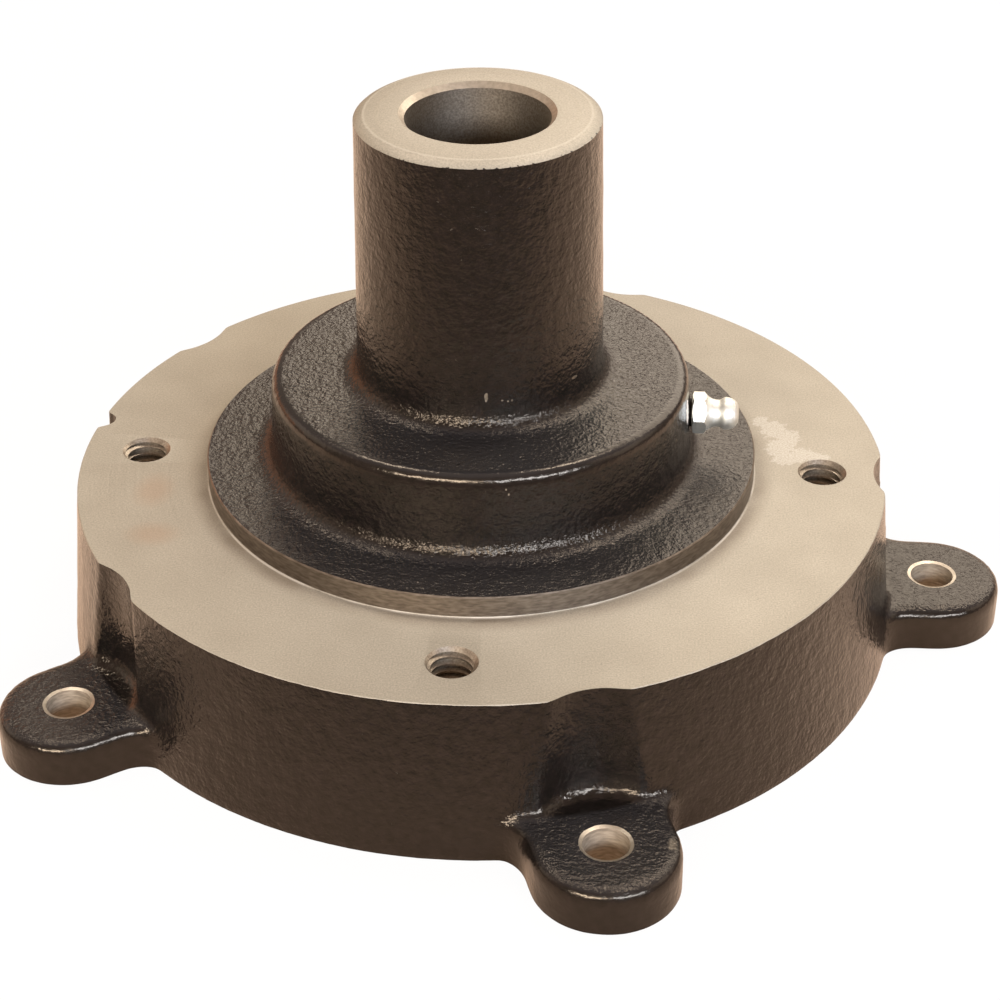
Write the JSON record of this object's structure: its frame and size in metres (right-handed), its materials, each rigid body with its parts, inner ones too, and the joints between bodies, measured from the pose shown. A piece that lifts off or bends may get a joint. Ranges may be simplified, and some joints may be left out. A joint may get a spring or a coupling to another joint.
{
  "type": "slip clutch drive hub",
  "caption": "Round cast-iron clutch hub with a long bored tube, a stepped boss, a turned pilot, a drilled face, bolt ears and a grease nipple.",
  "frame": {"origin": "on the bore's axis, level with the machined mounting face round the pilot", "axes": "+Z along the bore's axis, up the tube; +X out along the grease nipple, through one tapped hole and one bolt ear"},
  "size_m": [0.1984, 0.2072, 0.1106],
  "materials": {
    "painted_iron": "sand-cast iron in satin black-brown paint, with the turned and drilled surfaces bare",
    "plated_steel": "bright zinc plate on turned steel",
    "spring_steel": "plain drawn spring wire",
    "ball_steel": "polished bearing steel"
  },
  "bodies": {
    "hub": {"hub_casting": "painted_iron", "grease_nipple": "plated_steel", "nipple_spring": "spring_steel"},
    "check_ball": {"nipple_ball": "ball_steel"}
  },
  "joints": [
    {"name": "check_ball_travel", "type": "slide", "parent": "hub", "child": "check_ball", "axis": [-1, 0, 0], "range_m": [0, 0.0008], "stiffness_N_per_m": 300, "springref_m": -0.0005, "deforming": ["nipple_spring"]}
  ]
}
